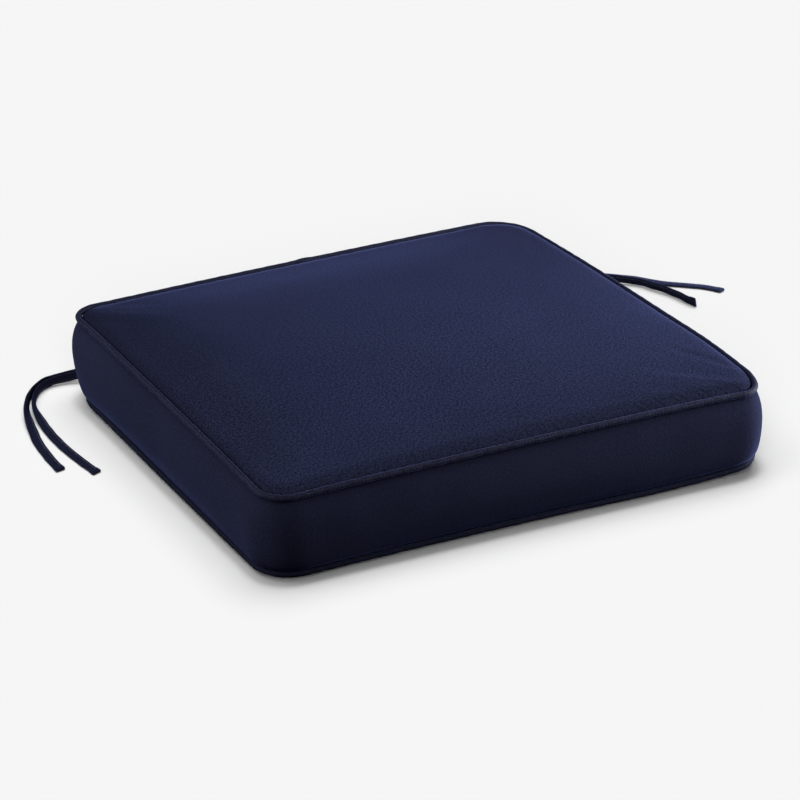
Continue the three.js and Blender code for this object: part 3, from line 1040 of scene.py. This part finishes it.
def smooth_route(rows, steps):
    """Centripetal curve through the rows, in even steps, with the turn at each"""
    rows = np.array(rows, float)
    points = rows[:, :3]
    ends = np.vstack([2 * points[0] - points[1], points, 2 * points[-1] - points[-2]])
    line, turn = [], []
    for i in range(len(points) - 1):
        p0, p1, p2, p3 = ends[i:i + 4]
        d0, d1, d2 = (
            max(np.linalg.norm(b - a) ** 0.5, 1e-6) for a, b in ((p0, p1), (p1, p2), (p2, p3)))
        t1 = ((p1 - p0) / d0 - (p2 - p0) / (d0 + d1) + (p2 - p1) / d1) * d1
        t2 = ((p2 - p1) / d1 - (p3 - p1) / (d1 + d2) + (p3 - p2) / d2) * d1
        for t in np.arange(40) / 40:
            line.append(
                p1 + t1 * t + (-3 * p1 + 3 * p2 - 2 * t1 - t2) * t * t
                + (2 * p1 - 2 * p2 + t1 + t2) * t ** 3)
            turn.append(rows[i, 3] + (rows[i + 1, 3] - rows[i, 3]) * t)
    line.append(points[-1])
    turn.append(rows[-1, 3])
    both = np.column_stack([line, turn])
    lengths = np.concatenate([[0], np.cumsum(np.linalg.norm(np.diff(both[:, :3], axis=0), axis=1))])
    at = np.linspace(0, lengths[-1], steps + 1)
    even = np.stack([np.interp(at, lengths, both[:, k]) for k in range(4)], -1)
    return even[:, :3], even[:, 3], lengths[-1]


def strip_frames(line, turn):
    """Directions along, across and square to a strip"""
    along = np.gradient(line, axis=0)
    along /= np.linalg.norm(along, axis=1, keepdims=True)
    across = np.cross((0, 0, 1.0), along)
    across /= np.linalg.norm(across, axis=1, keepdims=True)
    angle = np.radians(turn)[:, None]
    across = across * np.cos(angle) + np.cross(along, across) * np.sin(angle)
    return along, across, np.cross(along, across)


# Half of the folded strip's section: share of its half width and of its half thickness
STRIP_SECTION = (
    (1.0, 0.0), (0.985, 0.5), (0.93, 0.86), (0.8, 1.0), (0.62, 0.94), (0.54, 0.8), (0.44, 0.93),
    (0.2, 1.0), (-0.2, 1.0), (-0.55, 0.96), (-0.8, 0.93), (-0.93, 0.8), (-0.985, 0.45),
)
STRIP_RING = np.array([*STRIP_SECTION, *((-a, -u) for a, u in STRIP_SECTION)])
TIE_STEPS = 200
# How far one edge of each cut end runs on past the middle, and the length of the hem, in metres
TIE_SLANTS = {
    "tie_left_outer": -0.0012, "tie_left_inner": -0.0012,
    "tie_right_back": 0.0004, "tie_right_front": 0.0003,
}
HEM = 0.0075
# Share of the full width of a tie that is folded narrower than the others
TIE_WIDTHS = {"tie_right_back": 0.87}


def tie_points(name, line, frames, distance):
    """Points of a tie, ring by ring: pinched at the ends, thicker at the hem and cut aslant"""
    s = sizes()
    along, across, face = frames
    seed, length = len(name), distance[-1]
    flutter = 0.00025 * ripple(distance, 0.034, seed) * np.clip(distance / 0.05, 0, 1)
    points = []
    for k, at in enumerate(distance):
        left = length - at
        from_end = min(at, left)
        pinch = 1 - 0.10 * max(0.0, 1 - from_end / 0.0012)
        hem = np.clip((HEM - left) / 0.0012, 0, 1)
        uneven = 1 + 0.012 * math.sin(at * 310 + seed) + 0.07 * hem
        half = s.tie_width / 2 * TIE_WIDTHS.get(name, 1.0) * pinch * uneven
        thick = s.tie_thickness / 2 * min(1.0, 0.55 + from_end / 0.0011) * (1 + 0.3 * hem)
        slant = TIE_SLANTS[name] * max(0.0, 1 - left / 0.012)
        for a, u in STRIP_RING:
            points.append(
                line[k] + across[k] * (a * half + flutter[k]) + face[k] * (u * thick)
                + along[k] * (a * slant))
    return points


def make_tie(name, material):
    """One folded and stitched strip, laid along its route"""
    s = sizes()
    line, turn, length = smooth_route(TIE_ROUTES[name], TIE_STEPS)
    distance = np.linspace(0, length, TIE_STEPS + 1)
    points = tie_points(name, line, strip_frames(line, turn), distance)
    closed = np.vstack([STRIP_RING, STRIP_RING[:1]]) * (s.tie_width / 2, s.tie_thickness / 2)
    around = np.concatenate([[0], np.cumsum(np.linalg.norm(np.diff(closed, axis=0), axis=1))])
    n = len(STRIP_RING)
    faces, maps = [], []
    for k in range(TIE_STEPS):
        for i in range(n):
            j = (i + 1) % n
            faces.append((k * n + i, k * n + j, (k + 1) * n + j, (k + 1) * n + i))
            maps.append((
                (around[i], distance[k]), (around[i + 1], distance[k]),
                (around[i + 1], distance[k + 1]), (around[i], distance[k + 1])))
    for ring, middle in ((0, line[0]), (TIE_STEPS, line[-1])):
        centre = len(points)
        points.append(middle)
        for i in range(n):
            j = (i + 1) % n
            near = (around[i], distance[ring]), (around[i + 1], distance[ring])
            hub = (around[n // 4], distance[ring] + 0.002)
            if ring:
                faces.append((ring * n + i, ring * n + j, centre))
                maps.append((*near, hub))
            else:
                faces.append((i, centre, j))
                maps.append((near[0], hub, near[1]))
    piece = mesh_object(name + "_strip", points, faces, maps, 1.0)
    piece.data.materials.append(material)
    return piece, line, length


def stitch_tree(material):
    """Geometry Nodes: a short rounded stitch on each point, turned along the strip"""
    tree = bpy.data.node_groups.new("stitch row", "GeometryNodeTree")
    tree.is_modifier = True
    s, sockets = sizes(), tree.interface
    sockets.new_socket("Geometry", in_out="INPUT", socket_type="NodeSocketGeometry")
    for name, value in (("Stitch length", s.stitch_length), ("Thread thickness", s.thread_thickness)):
        socket = sockets.new_socket(name, in_out="INPUT", socket_type="NodeSocketFloat")
        socket.default_value = value
    sockets.new_socket("Geometry", in_out="OUTPUT", socket_type="NodeSocketGeometry")
    new, link = tree.nodes.new, tree.links.new
    start, end = new("NodeGroupInput"), new("NodeGroupOutput")
    ball = new("GeometryNodeMeshUVSphere")
    ball.inputs["Segments"].default_value = 6
    ball.inputs["Rings"].default_value = 4
    ball.inputs["Radius"].default_value = 0.5
    along, up = new("GeometryNodeInputNamedAttribute"), new("GeometryNodeInputNamedAttribute")
    along.data_type = up.data_type = "FLOAT_VECTOR"
    along.inputs["Name"].default_value = "along"
    up.inputs["Name"].default_value = "up"
    turn = new("FunctionNodeAxesToRotation")
    turn.primary_axis, turn.secondary_axis = "X", "Z"
    size = new("ShaderNodeCombineXYZ")
    points = new("GeometryNodeMeshToPoints")
    place = new("GeometryNodeInstanceOnPoints")
    real = new("GeometryNodeRealizeInstances")
    smooth = new("GeometryNodeSetShadeSmooth")
    cloth = new("GeometryNodeSetMaterial")
    cloth.inputs["Material"].default_value = material
    link(start.outputs["Geometry"], points.inputs["Mesh"])
    link(along.outputs["Attribute"], turn.inputs["Primary Axis"])
    link(up.outputs["Attribute"], turn.inputs["Secondary Axis"])
    link(start.outputs["Stitch length"], size.inputs["X"])
    link(start.outputs["Thread thickness"], size.inputs["Y"])
    link(start.outputs["Thread thickness"], size.inputs["Z"])
    link(points.outputs["Points"], place.inputs["Points"])
    link(ball.outputs["Mesh"], place.inputs["Instance"])
    link(turn.outputs["Rotation"], place.inputs["Rotation"])
    link(size.outputs["Vector"], place.inputs["Scale"])
    link(place.outputs["Instances"], real.inputs["Geometry"])
    link(real.outputs["Geometry"], smooth.inputs["Geometry"])
    link(smooth.outputs["Geometry"], cloth.inputs["Geometry"])
    link(cloth.outputs["Geometry"], end.inputs["Geometry"])
    return tree


def run_tree(piece, tree, values):
    """Puts a tree on a piece, sets its inputs by identifier and keeps the plain result"""
    modifier = piece.modifiers.new(tree.name, "NODES")
    modifier.node_group = tree
    for item in tree.interface.items_tree:
        if item.item_type == "SOCKET" and item.in_out == "INPUT" and item.name in values:
            modifier[item.identifier] = values[item.name]
    return baked(piece)


def stitch_row(name, tree):
    """Stitches along one edge of a tie, on both its faces"""
    s = sizes()
    width = s.tie_width * TIE_WIDTHS.get(name, 1.0)
    length = smooth_route(TIE_ROUTES[name], TIE_STEPS)[2]
    count = int((length - 0.008) / s.stitch_pitch)
    line, turn, _ = smooth_route(TIE_ROUTES[name], 4 * count)
    along, across, face = strip_frames(line, turn)
    points, runs, ups = [], [], []
    for k in range(count):
        i = 2 + 4 * k
        if i >= len(line) - 5:
            break
        for side in (1, -1):
            lift = side * (0.8 * s.tie_thickness / 2 + 0.00004)
            points.append(line[i] + across[i] * (side * 0.54 * width / 2) + face[i] * lift)
            runs.append(along[i])
            ups.append(face[i] * side)
    mesh = bpy.data.meshes.new(name + "_stitches")
    mesh.from_pydata([tuple(p) for p in points], [], [])
    for label, rows in (("along", runs), ("up", ups)):
        data = mesh.attributes.new(label, "FLOAT_VECTOR", "POINT")
        data.data.foreach_set("vector", np.array(rows, np.float32).ravel())
    piece = bpy.data.objects.new(name + "_stitches", mesh)
    bpy.context.scene.collection.objects.link(piece)
    values = {"Stitch length": s.stitch_length, "Thread thickness": s.thread_thickness}
    return run_tree(piece, tree, values)


class CUSHION_OT_ties(bpy.types.Operator):
    """Makes the four flat ties as the photograph shows them lying"""

    bl_idname = "cushion.ties"
    bl_label = "Ties"

    def execute(self, context):
        c, s = colours(), sizes()
        cloth = cloth_material("tie cloth", c.tie, c.yarn, sheen=0.078, relief=0.9, streak=0.08)
        thread = thread_material("tie thread", [v * 1.25 for v in c.tie])
        tree = stitch_tree(thread)
        for name in TIE_ROUTES:
            piece, line, length = make_tie(name, cloth)
            stitches = stitch_row(name, tree)
            for made in (piece, stitches):
                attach(made, "root")
            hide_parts(name)
        return {"FINISHED"}


class CUSHION_OT_cover(bpy.types.Operator):
    """Makes the stuffed cover: top panel, boxing band and bottom panel"""

    bl_idname = "cushion.cover"
    bl_label = "Cover"

    def execute(self, context):
        c, s = colours(), sizes()
        shape = CoverShape()
        points = np.concatenate(shape.points)
        cover = mesh_object(
            "cushion_cover", points, shape.faces, shape.maps, seam=shape.seam_map())
        seam_gap = self.seam_distance(shape, points)
        held = np.zeros(len(points))
        held[sorted(shape.held)] = 1.0
        held[points[:, 2] < 0.4] = 1.0
        gathered = np.exp(-(seam_gap / 16.0) ** 2)
        self.settle(cover, held, gathered, shape)
        self.crease(cover, shape)
        cloth = cloth_material("cover cloth", c.cover, c.yarn, gathered=True)
        cover.data.materials.append(cloth)
        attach(cover, "root")
        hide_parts("cushion_body")
        return {"FINISHED"}

    @staticmethod
    def seam_distance(shape, points):
        """How far each point is from the nearest seam, over the cloth's surface"""
        gap = np.full(len(points), 100.0)
        for first, last, loop in (
            (shape.first_top, shape.last_top, shape.top),
            (shape.first_bottom, shape.last_bottom, shape.low),
        ):
            gap[first:last] = panel_distance(points[first:last, :2], loop)[0]
        n = len(shape.top)
        for part, ring in zip(BAND_ROWS, shape.band_rings):
            gap[ring:ring + n] = 4 + min(part, 1 - part) * BAND_HEIGHT
        return gap

    @staticmethod
    def settle(cover, held, gathered, shape):
        """Fills the cover, with the rise of the top panel scaled to the wanted one"""
        rest, shift = stuff(cover, held, gathered)
        mesh = cover.data
        co = coordinates(mesh)
        panel = slice(shape.first_top, shape.last_top)
        rise = shift[panel, 2]
        middle = np.abs(rest[panel, :2]).max(1) < 0.06
        co[panel, 2] = rest[panel, 2] + rise * (FILLING_RISE / max(rise[middle].mean(), 0.001))
        co[:, 2] = np.maximum(co[:, 2], np.where(rest[:, 2] < 0.0004, rest[:, 2], 0.0002))
        mesh.vertices.foreach_set("co", co.ravel())
        mesh.update()

    @staticmethod
    def crease(cover, shape):
        """One subdivision, then the small gathers that the seams draw in the cloth"""
        modifier = cover.modifiers.new("finer", "SUBSURF")
        modifier.levels = modifier.render_levels = 1
        baked(cover)
        mesh = cover.data
        co = coordinates(mesh) / MM
        normals = np.empty(len(co) * 3)
        mesh.vertices.foreach_get("normal", normals)
        normals = normals.reshape(-1, 3)
        depth = sizes().gather_depth / MM
        away, near = panel_distance(co[:, :2], shape.top)
        along = shape.along[near]
        strong = 0.2 + 0.6 * np.exp(-((co[:, 0] - 175) / 85) ** 2) * (co[:, 1] < -120)
        is_top = co[:, 2] > shape.top_z[near] + 0.4
        is_band = (~is_top) & (normals[:, 2] > -0.75) & (co[:, 2] > 9)
        wave = ripple(along, 12.5, 3) + 0.5 * ripple(along + away * 0.25, 7.6, 5)
        fold = np.exp(-((away - 6) / 9.5) ** 2) * np.clip((away - 2.5) / 4, 0, 1)
        lift = np.where(is_top, depth * strong * wave * fold, 0)
        down = shape.top_z[near] - co[:, 2]
        up = co[:, 2] - shape.low_z[near]
        edge = np.exp(-(down / 15) ** 2) + 0.6 * np.exp(-(up / 12) ** 2)
        clear = np.clip((down - 3.5) / 5, 0, 1) * np.clip((up - 3.5) / 5, 0, 1)
        upright = ripple(along, 15.0, 8) + 0.6 * ripple(along, 8.5, 11)
        lift += np.where(is_band, depth * 0.7 * strong * upright * edge * clear, 0)
        co += normals * lift[:, None]
        mesh.vertices.foreach_set("co", (co * MM).ravel())
        mesh.update()


PIPING_SIDES = 18
PIPING_COUNTS = (290, 250)


def piping_tree(material):
    """Geometry Nodes: a round cord along a closed seam, thicker where its ends are lapped"""
    tree = bpy.data.node_groups.new("piping", "GeometryNodeTree")
    tree.is_modifier = True
    sockets = tree.interface
    sockets.new_socket("Geometry", in_out="INPUT", socket_type="NodeSocketGeometry")
    radius = sockets.new_socket("Radius", in_out="INPUT", socket_type="NodeSocketFloat")
    radius.default_value = sizes().piping_radius
    sides = sockets.new_socket("Sides", in_out="INPUT", socket_type="NodeSocketInt")
    sides.default_value = PIPING_SIDES
    sockets.new_socket("Geometry", in_out="OUTPUT", socket_type="NodeSocketGeometry")
    new, link = tree.nodes.new, tree.links.new
    start, end = new("NodeGroupInput"), new("NodeGroupOutput")
    line = new("GeometryNodeMeshToCurve")
    circle = new("GeometryNodeCurvePrimitiveCircle")
    share = new("GeometryNodeSplineParameter")
    mark = new("GeometryNodeStoreNamedAttribute")
    mark.data_type, mark.domain = "FLOAT", "POINT"
    mark.inputs["Name"].default_value = "around"
    swell = new("GeometryNodeInputNamedAttribute")
    swell.data_type = "FLOAT"
    swell.inputs["Name"].default_value = "swell"
    sweep = new("GeometryNodeCurveToMesh")
    real = new("GeometryNodeRealizeInstances")
    smooth = new("GeometryNodeSetShadeSmooth")
    cloth = new("GeometryNodeSetMaterial")
    cloth.inputs["Material"].default_value = material
    link(start.outputs["Geometry"], line.inputs["Mesh"])
    link(start.outputs["Sides"], circle.inputs["Resolution"])
    link(start.outputs["Radius"], circle.inputs["Radius"])
    link(circle.outputs["Curve"], mark.inputs["Geometry"])
    link(share.outputs["Factor"], mark.inputs["Value"])
    link(line.outputs["Curve"], sweep.inputs["Curve"])
    link(mark.outputs["Geometry"], sweep.inputs["Profile Curve"])
    link(swell.outputs["Attribute"], sweep.inputs["Scale"])
    link(sweep.outputs["Mesh"], real.inputs["Geometry"])
    link(real.outputs["Geometry"], smooth.inputs["Geometry"])
    link(smooth.outputs["Geometry"], cloth.inputs["Geometry"])
    link(cloth.outputs["Geometry"], end.inputs["Geometry"])
    return tree


def piping_line(level):
    """Centre line of one seam's cord, with its small unevenness"""
    loop, out = seam_loop(level, PIPING_COUNTS)
    z = seam_height(level, loop)
    steps = np.linalg.norm(np.roll(loop, -1, 0) - loop, axis=1)
    along = np.concatenate([[0], np.cumsum(steps)[:-1]])
    total = steps.sum()
    turns = round(total / 26)
    wander = (
        np.sin(2 * np.pi * turns * along / total) + np.sin(2 * np.pi * (turns * 2 + 7) * along / total))
    from_join = np.hypot(loop[:, 0] - JOIN_AT[0], loop[:, 1] - JOIN_AT[1]) / 8.0
    swell = 1 + 0.012 * wander + 0.26 * np.exp(-from_join ** 4)
    if level == "top":
        z = z + 0.3
    points = np.column_stack([loop + out * (0.06 * wander)[:, None], z])
    return points, along, total, swell


def add_cord_map(piece, line, along, total, radius):
    """Cloth map of a swept cord: distance along the seam, and round the cord"""
    mesh = piece.data
    co = coordinates(mesh)
    at = np.empty(len(co), int)
    for start in range(0, len(co), 1500):
        gap = np.linalg.norm(co[start:start + 1500, None] - line[None] * MM, axis=2)
        at[start:start + 1500] = gap.argmin(1)
    share = np.empty(len(co), np.float32)
    mesh.attributes["around"].data.foreach_get("value", share)
    corners = np.empty(len(mesh.loops), int)
    mesh.loops.foreach_get("vertex_index", corners)
    firsts = np.empty(len(mesh.polygons), int)
    counts = np.empty(len(mesh.polygons), int)
    mesh.polygons.foreach_get("loop_start", firsts)
    mesh.polygons.foreach_get("loop_total", counts)
    face_of = np.repeat(np.arange(len(firsts)), counts)
    u = along[at[corners]] * MM
    v = share[corners] * 2 * math.pi * radius
    for values, span in ((u, total * MM), (v, 2 * math.pi * radius)):
        highest = np.zeros(len(firsts))
        np.maximum.at(highest, face_of, values)
        values += np.where(highest[face_of] - values > span / 2, span, 0)
    layer = mesh.uv_layers.new(name="cloth")
    layer.data.foreach_set("uv", np.column_stack([u, v]).astype(np.float32).ravel())


class CUSHION_OT_piping(bpy.types.Operator):
    """Makes the cloth-covered cord in the top and the bottom seam"""

    bl_idname = "cushion.piping"
    bl_label = "Piping"

    def execute(self, context):
        c, s = colours(), sizes()
        cloth = cloth_material(
            "piping cloth", c.piping, c.yarn, bias=True, sheen=0.055, relief=0.9, streak=0.08,
            pulled=0.06, gloss=0.03, matte=0.65)
        tree = piping_tree(cloth)
        for level in ("top", "bottom"):
            line, along, total, swell = piping_line(level)
            mesh = bpy.data.meshes.new("piping_" + level)
            n = len(line)
            mesh.from_pydata((line * MM).tolist(), [(k, (k + 1) % n) for k in range(n)], [])
            data = mesh.attributes.new("swell", "FLOAT", "POINT")
            data.data.foreach_set("value", swell.astype(np.float32))
            piece = bpy.data.objects.new(f"piping_{level}_cord", mesh)
            context.scene.collection.objects.link(piece)
            radius = s.piping_radius if level == "top" else s.low_piping_radius
            run_tree(piece, tree, {"Radius": radius, "Sides": PIPING_SIDES})
            self.face_outwards(piece, line)
            add_cord_map(piece, line, along, total, radius)
            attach(piece, "root")
            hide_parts("piping_" + level)
        return {"FINISHED"}

    @staticmethod
    def face_outwards(piece, line):
        """Turns the faces over if the first one faces the cord's centre line"""
        mesh = piece.data
        face = mesh.polygons[0]
        gap = np.linalg.norm(line * MM - np.array(face.center), axis=1)
        centre = Vector(line[np.argmin(gap)] * MM)
        if face.normal.dot(face.center - centre) < 0:
            mesh.flip_normals()


# The floor's suns: strength, azimuth, elevation and softness in degrees
FLOOR_SUNS = (
    ("floor from the front left", 2.505, -30, 30, 30),
    ("floor from the left", 1.55, -90, 65, 40),
    ("floor from above", 1.54, 0, 90, 12),
    ("floor from the back left", 0.333, -150, 75, 15),
    ("floor from the back right", 2.467, 135, 70, 40),
)
LEFT_SOFTBOX = ("left softbox", 8.12, -90, 30, 50)
TIE_FILL = ("tie fill", 6.0, 15, 22, 60)
# The cushion's panels of light: place in metres and power in watts
CLOTH_PANELS = (
    ("right panel", (1.2, -0.15, 0.2), 91.3),
    ("front right panel", (1.0, -0.8, 0.5), 47.0),
    ("back left panel", (-0.9, 0.9, 0.7), 17.3),
)
SKY_STRENGTH = 0.01
PANEL_SIZE = 0.6
PANEL_AIM = (0.05, 0, 0.08)
FLOOR_HALF = 12.0
FLOOR_HEIGHT = -0.0003


def sun(name, strength, azimuth, elevation, angle, reach, blockers=None):
    """A distant soft light: azimuth 0 is in front of the cushion and 90 on its right"""
    data = bpy.data.lights.new(name, "SUN")
    data.energy = strength
    data.angle = math.radians(angle)
    lamp = bpy.data.objects.new(name, data)
    a, e = math.radians(azimuth), math.radians(elevation)
    towards = Vector((math.sin(a) * math.cos(e), -math.cos(a) * math.cos(e), math.sin(e)))
    lamp.rotation_mode = "QUATERNION"
    lamp.rotation_quaternion = towards.to_track_quat("Z", "Y")
    bpy.context.scene.collection.objects.link(lamp)
    lamp.light_linking.receiver_collection = reach
    lamp.light_linking.blocker_collection = blockers


def panel(name, place, power, reach):
    """A soft panel close to the cushion that lights its cloth but not the floor"""
    data = bpy.data.lights.new(name, "AREA")
    data.energy = power
    data.shape = "DISK"
    data.size = PANEL_SIZE
    lamp = bpy.data.objects.new(name, data)
    lamp.location = place
    lamp.rotation_mode = "QUATERNION"
    lamp.rotation_quaternion = (Vector(place) - Vector(PANEL_AIM)).to_track_quat("Z", "Y")
    bpy.context.scene.collection.objects.link(lamp)
    lamp.light_linking.receiver_collection = reach


class CUSHION_OT_stage(bpy.types.Operator):
    """Sets the plain floor and the soft studio light"""

    bl_idname = "cushion.stage"
    bl_label = "Stage"

    def execute(self, context):
        scene = context.scene
        corners = [
            (x * FLOOR_HALF, y * FLOOR_HALF, FLOOR_HEIGHT) for x, y in ((-1, -1), (1, -1), (1, 1), (-1, 1))
        ]
        floor = mesh_object("floor", corners, [(0, 1, 2, 3)], scale=1.0)
        floor.data.materials.append(floor_material("pale floor", colours().floor))
        floor.visible_diffuse = floor.visible_glossy = False
        world = bpy.data.worlds.new("studio")
        world.use_nodes = True
        sky = world.node_tree.nodes["Background"].inputs
        sky["Color"].default_value = (1.0, 1.0, 1.0, 1.0)
        sky["Strength"].default_value = SKY_STRENGTH
        scene.world = world
        on_floor = bpy.data.collections.new("floor lights reach")
        on_floor.objects.link(floor)
        on_cloth = bpy.data.collections.new("cushion lights reach")
        on_ties = bpy.data.collections.new("tie lights reach")
        for piece in scene.objects:
            if piece.type == "MESH" and piece is not floor:
                on_cloth.objects.link(piece)
                if piece.name.startswith("tie"):
                    on_ties.objects.link(piece)
        for row in FLOOR_SUNS:
            sun(*row, on_floor)
        sun(*LEFT_SOFTBOX, on_cloth)
        for row in CLOTH_PANELS:
            panel(*row, on_cloth)
        sun(*TIE_FILL, on_ties, on_ties)
        scene.view_settings.view_transform = "Standard"
        scene.view_settings.look = "None"
        scene.view_settings.exposure = 0.0
        scene.view_settings.gamma = 1.0
        return {"FINISHED"}


class CUSHION_PT_panel(bpy.types.Panel):
    """Sizes, colours and steps of the cushion"""

    bl_label = "Cushion"
    bl_idname = "CUSHION_PT_panel"
    bl_space_type = "VIEW_3D"
    bl_region_type = "UI"
    bl_category = "Cushion"

    def draw(self, context):
        layout = self.layout
        for group in (context.scene.cushion_sizes, context.scene.cushion_colours):
            box = layout.box()
            for name in group.__annotations__:
                box.prop(group, name)
        for step in STEPS:
            layout.operator(step.bl_idname)


STEPS = (
    CUSHION_OT_camera,
    CUSHION_OT_ties,
    CUSHION_OT_cover,
    CUSHION_OT_piping,
    CUSHION_OT_stage,
)
CLASSES = (CushionSizes, CushionColours, *STEPS, CUSHION_PT_panel)


def register():
    for made in CLASSES:
        bpy.utils.register_class(made)
    bpy.types.Scene.cushion_sizes = bpy.props.PointerProperty(type=CushionSizes)
    bpy.types.Scene.cushion_colours = bpy.props.PointerProperty(type=CushionColours)


def unregister():
    del bpy.types.Scene.cushion_sizes
    del bpy.types.Scene.cushion_colours
    for made in reversed(CLASSES):
        bpy.utils.unregister_class(made)


def main():
    register()
    for step in STEPS:
        group, name = step.bl_idname.split(".")
        if getattr(getattr(bpy.ops, group), name)() != {"FINISHED"}:
            raise RuntimeError(f"{step.bl_label} could not be made")


if __name__ == "__main__":
    main()
